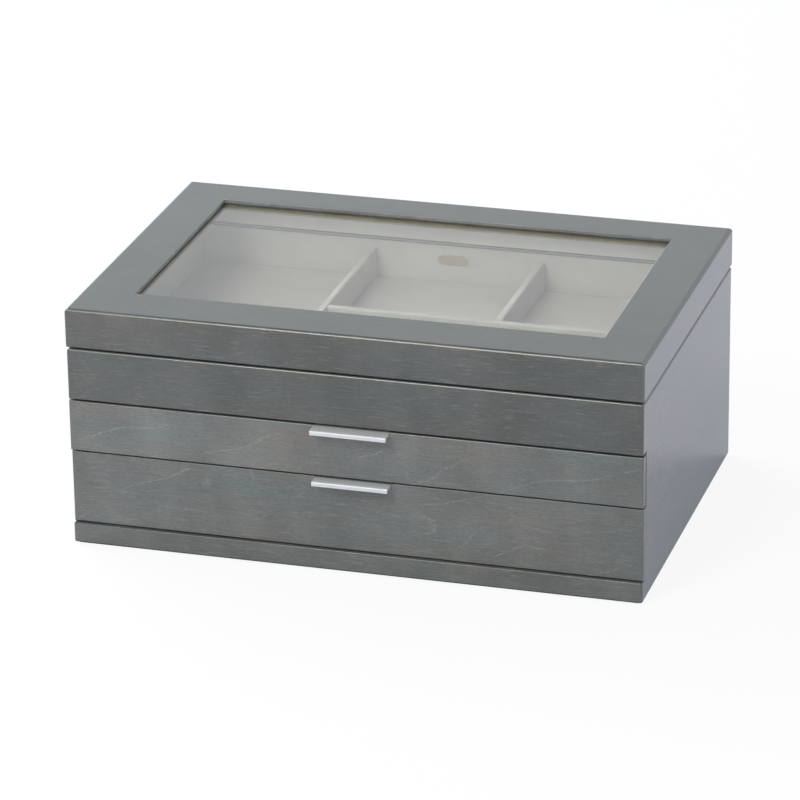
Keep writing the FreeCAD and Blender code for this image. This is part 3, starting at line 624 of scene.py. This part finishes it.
def soft_piece(name, body, material, boxes, radius, sag, stands_for, step=STEP):
    """One piece made of soft blocks, riding on its body in place of a CAD node."""
    radii = [radius] * 3 if isinstance(radius, float) else radius
    points, faces = [], []
    for low, high in boxes:
        block_points, block_faces = soft_points(Vector(low), Vector(high), radii, step, sag, WAVE)
        faces += [[len(points) + corner for corner in face] for face in block_faces]
        points += block_points
    piece = soft_mesh(name, points, faces)
    piece.data.materials.append(material)
    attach(piece, body)
    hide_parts(stands_for)
    return piece


print("a soft block's points are", round(STEP / MM), "mm apart")

# %% [markdown]
# ## Linings of the tray and the lid
# The tray's four walls are cards with cloth folded over their upper edge, and the lid has the same four
# around its hollow. Each is a thin soft block of its own size. The foam is thin, so the cards count as padded
# but full. The tray's floor has a little more foam, and sinks a little more.

# %% Line the tray and the lid
CARD_EDGE, CARD_SAG = 0.65 * MM, 0.08 * MM
PAD_EDGE, PAD_SAG, PAD_FILL = 0.7 * MM, 0.25 * MM, 0.8


def lining(node, radius, sag):
    """A soft block in the place of a CAD node, on the same body."""
    # The lid's cards get the paler cloth: painted light.
    cloth = suede_painted_paler if node.startswith("lid") else suede
    body = nodes[node]["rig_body"]
    piece = soft_piece(f"suede_{node}", body, cloth, [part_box(node)], radius, sag, node)


for place in ("tray_liner", "lid_liner"):
    for side in ("front", "back", "left", "right"):
        lining(f"{place}_{side}", CARD_EDGE, CARD_SAG)
lining("tray_floor_pad", PAD_EDGE, PAD_SAG)
print("8 cards and the tray's floor")

# %% [markdown]
# ## Dividers
# The three dividers are strips of board, wrapped in thin foam and cloth. They could be boxes with a bevel,
# but cloth is never quite flat, so they are soft blocks. Their long edges are softly rounded, while their
# ends stay square, because there they butt against a wall or another divider.

# %% Make the dividers
EDGE, END = 1.1 * MM, 0.3 * MM
DIVIDER_SAG = 0.15 * MM
lengthwise, crosswise = (EDGE, END, EDGE), (END, EDGE, EDGE)
dividers = {
    "tray_divider_long": lengthwise, "tray_divider_cross": crosswise, "tray_divider_back": lengthwise,
}
for node, radii in dividers.items():
    lining(node, radii, DIVIDER_SAG)
print(len(dividers), "dividers")

# %% [markdown]
# ## Copies in a row
# The ring rolls, a drawer's two dividers and the two bumpers are each one shape repeated along a line. A loop
# could place the copies, but a Geometry Nodes tree says it better: it takes the shape, how many copies, how
# far apart, and how much they may differ, and hands back one mesh. The copies differ by a small random scale
# across, with a fixed seed, as sewn rolls do.

# %% The tree that repeats a shape
def row_tree():
    """A tree that sets copies of a shape in a row, each a little smaller than the shape at random."""
    tree = bpy.data.node_groups.new("copies_in_a_row", "GeometryNodeTree")
    named_inputs = {
        "Geometry": "NodeSocketGeometry", "Count": "NodeSocketInt", "Spacing": "NodeSocketVector",
        "Start": "NodeSocketVector", "Smallest": "NodeSocketVector", "Seed": "NodeSocketInt",
        "Material": "NodeSocketMaterial",
    }
    for name, kind in named_inputs.items():
        tree.interface.new_socket(name, in_out="INPUT", socket_type=kind)
    tree.interface.new_socket("Geometry", in_out="OUTPUT", socket_type="NodeSocketGeometry")
    given = add(tree, "NodeGroupInput", output=None)
    inputs = {"Count": given["Count"], "Start Location": given["Start"], "Offset": given["Spacing"]}
    line = add(tree, "GeometryNodeMeshLine", inputs, mode="OFFSET")
    inputs = {0: given["Smallest"], 1: (1.0, 1.0, 1.0), "Seed": given["Seed"]}
    size = add(tree, "FunctionNodeRandomValue", inputs, data_type="FLOAT_VECTOR")
    inputs = {"Points": line, "Instance": given["Geometry"], "Scale": size}
    copies = add(tree, "GeometryNodeInstanceOnPoints", inputs)
    solid = add(tree, "GeometryNodeRealizeInstances", [copies])
    inputs = {"Geometry": solid, "Material": given["Material"]}
    add(tree, "NodeGroupOutput", [add(tree, "GeometryNodeSetMaterial", inputs)])
    return tree


copies_in_a_row = row_tree()


def row_of(name, body, shape, values, stands_for):
    """Repeats a shape, keeps the result as a plain mesh, and sets it on its body."""
    piece = soft_mesh(name, *shape)
    row = piece.modifiers.new("row", "NODES")
    row.node_group = copies_in_a_row
    for item in copies_in_a_row.interface.items_tree:
        if item.in_out == "INPUT" and item.name in values:
            row[item.identifier] = values[item.name]
    bpy.context.view_layer.update()
    graph = bpy.context.evaluated_depsgraph_get()
    result = bpy.data.meshes.new_from_object(piece.evaluated_get(graph))
    piece.modifiers.remove(row)
    piece.data = result
    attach(piece, body)
    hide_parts(stands_for)
    print(name, values["Count"], "copies,", len(result.polygons), "faces")
    return piece


print("the tree has", len(copies_in_a_row.nodes), "nodes")

# %% [markdown]
# ## Ring rolls
# In front of the cross divider lie seven rolls of foam in cloth, side by side, with a slit between each two.
# They could be half cylinders, but foam in cloth is never that even. So one roll is a soft block with a
# radius of nearly half its width, which makes its top round, and the tree repeats it.

# %% Make the ring rolls
ROLL_COUNT = 7
ROLL_GAP, ROLL_FLAT = 0.4 * MM, 0.1 * MM
low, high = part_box("ring_rolls")
pitch = (high.y - low.y + ROLL_GAP) / ROLL_COUNT
roll_width = pitch - ROLL_GAP
half = Vector(((high.x - low.x) / 2, roll_width / 2, 0))
roll_top = half + Vector((0, 0, high.z - low.z))
roll_radii = [roll_width / 2 - ROLL_FLAT] * 3
roll = soft_points(-half, roll_top, roll_radii, STEP, sag=0.5 * MM, wave=14 * MM)
rolls = row_of("suede_ring_rolls", "case", roll, {
    "Count": ROLL_COUNT,
    "Spacing": (0.0, pitch, 0.0),
    "Start": ((low.x + high.x) / 2, low.y + roll_width / 2, low.z),
    "Smallest": (0.998, 0.98, 0.985),
    "Seed": 4,
    "Material": suede,
}, "ring_rolls")

# %% [markdown]
# ## Linings of the drawers
# Each drawer has a thin pad on its floor and four covered cards along its walls. The upper one is also parted
# in three by two covered strips. The four cards of a drawer are one piece here, because CAD holds them as one
# node too.

# %% Line the drawers
def wall_cards(node, thickness):
    """The boxes of four cards round the inside of a node's box, front and back ones full length."""
    low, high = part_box(node)
    inner_low, inner_high = low.y + thickness, high.y - thickness
    return [
        ((low.x, low.y, low.z), (high.x, inner_low, high.z)),
        ((low.x, inner_high, low.z), (high.x, high.y, high.z)),
        ((low.x, inner_low, low.z), (low.x + thickness, inner_high, high.z)),
        ((high.x - thickness, inner_low, low.z), (high.x, inner_high, high.z)),
    ]


CARD, THIN_EDGE, THIN_SAG = 1.2 * MM, 0.5 * MM, 0.06 * MM
for drawer in ("upper_drawer", "lower_drawer"):
    node = f"{drawer}_liners"
    cards = wall_cards(node, CARD)
    piece = soft_piece(f"suede_{node}", drawer, suede, cards, THIN_EDGE, THIN_SAG, node)
    lining(f"{drawer}_pad", PAD_EDGE, PAD_SAG)
print("4 cards and a pad in each drawer")

# %% Part the upper drawer
STRIP = 4 * MM
low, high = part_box("upper_drawer_dividers")
half = Vector((STRIP / 2, (high.y - low.y) / 2, 0))
strip_top = half + Vector((0, 0, high.z - low.z))
strip = soft_points(-half, strip_top, lengthwise, STEP, DIVIDER_SAG, wave=16 * MM)
strips = row_of("suede_upper_drawer_dividers", "upper_drawer", strip, {
    "Count": 2,
    "Spacing": (high.x - low.x - STRIP, 0.0, 0.0),
    "Start": (low.x + STRIP / 2, (low.y + high.y) / 2, low.z),
    "Smallest": (1.0, 1.0, 1.0),
    "Seed": 1,
    "Material": suede,
}, "upper_drawer_dividers")

# %% [markdown]
# ## Felt
# A sheet of felt under the box keeps it from scratching the table, and two felt dots under the lid land on
# the case's rim. The sheet is a little smaller than the case all round, so that it doesn't show, and pressed
# felt is stiff enough to lie flat. A dot is turned from a few rings of points, a little rounded below.

# %% Lay the felt sheet
low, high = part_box("base_felt")
sheet = soft_piece(
    "felt_base", "case", felt, [(low, high)], 0.3 * MM, 0.0, "base_felt", step=6 * MM,
)
print("felt sheet", [round((high[i] - low[i]) / MM, 1) for i in range(2)], "mm")

# %% Make the felt dots
DOT_PROFILE = [(0.0, 0.75), (0.12, 0.9), (0.3, 0.98), (0.55, 1.0), (1.0, 1.0)]
DOT_SIDES = 28


def dot_shape(radius, height):
    """A small flat dot with a rounded lower rim, closed at both ends; the profile is (height, radius)."""
    points, faces = [Vector((0, 0, 0))], []
    for up, out in DOT_PROFILE:
        for i in range(DOT_SIDES):
            angle = 2 * math.pi * i / DOT_SIDES
            across, along = math.cos(angle), math.sin(angle)
            points.append(Vector((radius * out * across, radius * out * along, height * up)))
    points.append(Vector((0, 0, height)))
    last_ring = len(DOT_PROFILE) - 1
    for i in range(DOT_SIDES):
        after = (i + 1) % DOT_SIDES
        faces.append([0, 1 + after, 1 + i])
        for ring in range(last_ring):
            base, above = 1 + ring * DOT_SIDES, 1 + (ring + 1) * DOT_SIDES
            faces.append([base + i, base + after, above + after, above + i])
        top = 1 + last_ring * DOT_SIDES
        faces.append([top + i, top + after, len(points) - 1])
    return points, faces


low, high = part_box("lid_bumpers")
dot_radius = (high.y - low.y) / 2
row_of("felt_lid_bumpers", "lid", dot_shape(dot_radius, high.z - low.z), {
    "Count": 2,
    "Spacing": (high.x - low.x - 2 * dot_radius, 0.0, 0.0),
    "Start": (low.x + dot_radius, (low.y + high.y) / 2, low.z),
    "Smallest": (1.0, 1.0, 1.0),
    "Seed": 1,
    "Material": felt,
}, "lid_bumpers")

# %% [markdown]
# ## The floor
# The box stands on white paper in a studio. A real sweep of paper would need more light than the box can
# take, so the floor is a plain matt plane. For the camera and through glass it mostly glows, so that it runs
# into the white surroundings, and what is left of the paper takes the box's shadow. In reflections it glows
# less, and slightly blue, as the photograph's lacquer shows it.

# %% Make the floor
WHITE, FLOOR_CAST, SKY_CAST = linear("#ffffff"), linear("#e9f0ff"), linear("#eff5fd")
FLOOR_HALF = 6
SEEN_GLOW, MIRROR_GLOW = 0.9, 0.4
material, tree = new_material("studio_floor")
path = add(tree, "ShaderNodeLightPath", output=None)
seen = add(tree, MATH, [path["Is Camera Ray"], path["Is Transmission Ray"]], operation="MAXIMUM")
seen_glow = add(tree, MATH, [seen, SEEN_GLOW], operation="MULTIPLY")
mirror_glow = add(tree, MATH, [path["Is Glossy Ray"], MIRROR_GLOW], operation="MULTIPLY")
share = add(tree, MATH, [seen_glow, mirror_glow], operation="MAXIMUM")
paper = add(tree, "ShaderNodeBsdfDiffuse", {"Color": linear("#f1f4fb")})
mirrored = add(tree, MATH, [path["Is Glossy Ray"], path["Is Transmission Ray"]], operation="GREATER_THAN")
cast = add(tree, MIX, {0: mirrored, 6: WHITE, 7: FLOOR_CAST}, output=2, data_type="RGBA")
glow = add(tree, "ShaderNodeEmission", {"Color": cast, "Strength": 1.0})
add(tree, SURFACE, {"Surface": add(tree, "ShaderNodeMixShader", [share, paper, glow])})
mesh = bpy.data.meshes.new("floor")
corners = [(x * FLOOR_HALF, y * FLOOR_HALF, 0) for x, y in ((-1, -1), (1, -1), (1, 1), (-1, 1))]
mesh.from_pydata(corners, [], [(0, 1, 2, 3)])
mesh.materials.append(material)
floor = bpy.data.objects.new("floor", mesh)
bpy.context.scene.collection.objects.link(floor)
print("a floor of", 2 * FLOOR_HALF, "by", 2 * FLOOR_HALF, "m")

# %% [markdown]
# ## The room around it
# The world lights the box softly and looks white to the camera. What the lacquer and the window mirror is
# another matter: a studio has white walls and a dark ceiling, and without the dark the window would be milky.
# So the mirrored world is white up to 19 degrees above the horizon and falls off to 33 degrees, while the
# wall on the right is white all the way up. A picture of a studio would do the same, but it is a file, and
# these few nodes can be matched to the photograph.

# %% Make the world
AMBIENT = 0.45
WALLS, CEILING, RIGHT_WALL = 1.05, 0.1, 1.0
WALL_TOP, CEILING_START = math.radians(19), math.radians(33)
WALL_BLEND = 0.1
world = bpy.data.worlds.new("white_studio")
bpy.context.scene.world = world
world.use_nodes = True
tree = world.node_tree
tree.nodes.clear()
path = add(tree, "ShaderNodeLightPath", output=None)
way = add(tree, SPLIT, [add(tree, PLACES, output="Generated")], output=None)
sweep = add(tree, RANGE, {
    "Value": way[2], "From Min": math.sin(WALL_TOP), "From Max": math.sin(CEILING_START),
    "To Min": WALLS, "To Max": CEILING,
})
mirrored = add(tree, MATH, [path["Is Glossy Ray"], path["Is Transmission Ray"]], operation="GREATER_THAN")
inputs = {
    "Value": way[0], "From Min": -WALL_BLEND, "From Max": WALL_BLEND, "To Min": 0.0, "To Max": RIGHT_WALL,
}
right_wall = add(tree, MATH, [add(tree, RANGE, inputs), mirrored], operation="MULTIPLY")
seen = add(tree, MATH, [path["Is Camera Ray"], path["Is Transmission Ray"]], operation="MAXIMUM")
plain = add(tree, MATH, [seen, AMBIENT], operation="MAXIMUM")
strength = add(tree, MIX, {0: path["Is Glossy Ray"], 2: plain, 3: sweep})
strength = add(tree, MATH, [strength, right_wall], operation="MAXIMUM")
cast = add(tree, MIX, {0: mirrored, 6: WHITE, 7: SKY_CAST}, output=2, data_type="RGBA")
sky = add(tree, "ShaderNodeBackground", {"Color": cast, "Strength": strength})
add(tree, "ShaderNodeOutputWorld", {"Surface": sky})
print("the ceiling starts", round(math.degrees(CEILING_START)), "degrees up")

# %% [markdown]
# ## The softboxes
# A tall softbox in front draws the bright line along the lid's rounded edge, a wide one on the left lights
# the top and the tray, and a small one fills in from the right. Point lamps would draw hard shadows in the
# tray. A lamp's power grows with its size here, so its radiance is what is chosen.

# %% Make the lamps
def softbox(name, place, aim, width, height, radiance, colour):
    """A rectangular lamp of a given radiance, turned towards a point."""
    lamp = bpy.data.lights.new(name, "AREA")
    lamp.shape = "RECTANGLE"
    lamp.size, lamp.size_y = width, height
    lamp.color = linear(colour)[:3]
    lamp.energy = radiance * math.pi * width * height
    holder = bpy.data.objects.new(name, lamp)
    holder.location = place
    holder.rotation_euler = (Vector(aim) - Vector(place)).to_track_quat("-Z", "Y").to_euler()
    bpy.context.scene.collection.objects.link(holder)


LOWER_AIM, UPPER_AIM = (0, 0, 0.08), (0, 0, 0.1)
softbox("front_softbox", (-0.5, -1.4, 1.58), LOWER_AIM, 0.58, 1.05, 10.0, "#fffbf6")
softbox("left_softbox", (-1.6, 0.9, 1.08), UPPER_AIM, 1.6, 1.2, 6.3, "#fcfcff")
softbox("fill_softbox", (0.958, -1.8, 0.82), LOWER_AIM, 0.55, 0.55, 4.0, "#ffffff")
print("3 softboxes")

# %% [markdown]
# ## The camera
# The photograph was taken from the front, a little to the right, from about 2.4 m away with a long lens. The
# camera's place and turn were worked out from the box's own corners and edges.

# %% Place the camera
LENS = 204.16
CAMERA_PLACE = (0.63012, -2.12621, 0.96812)
CAMERA_TURN = (67.651, 0.7413, 16.298)
camera_data = bpy.data.cameras.new("camera")
camera_data.lens = LENS
camera = bpy.data.objects.new("camera", camera_data)
camera.location = CAMERA_PLACE
camera.rotation_euler = [math.radians(angle) for angle in CAMERA_TURN]
bpy.context.scene.collection.objects.link(camera)
bpy.context.scene.camera = camera
bpy.context.scene.view_settings.view_transform = "Standard"
print("camera at", [round(c, 2) for c in camera.location])
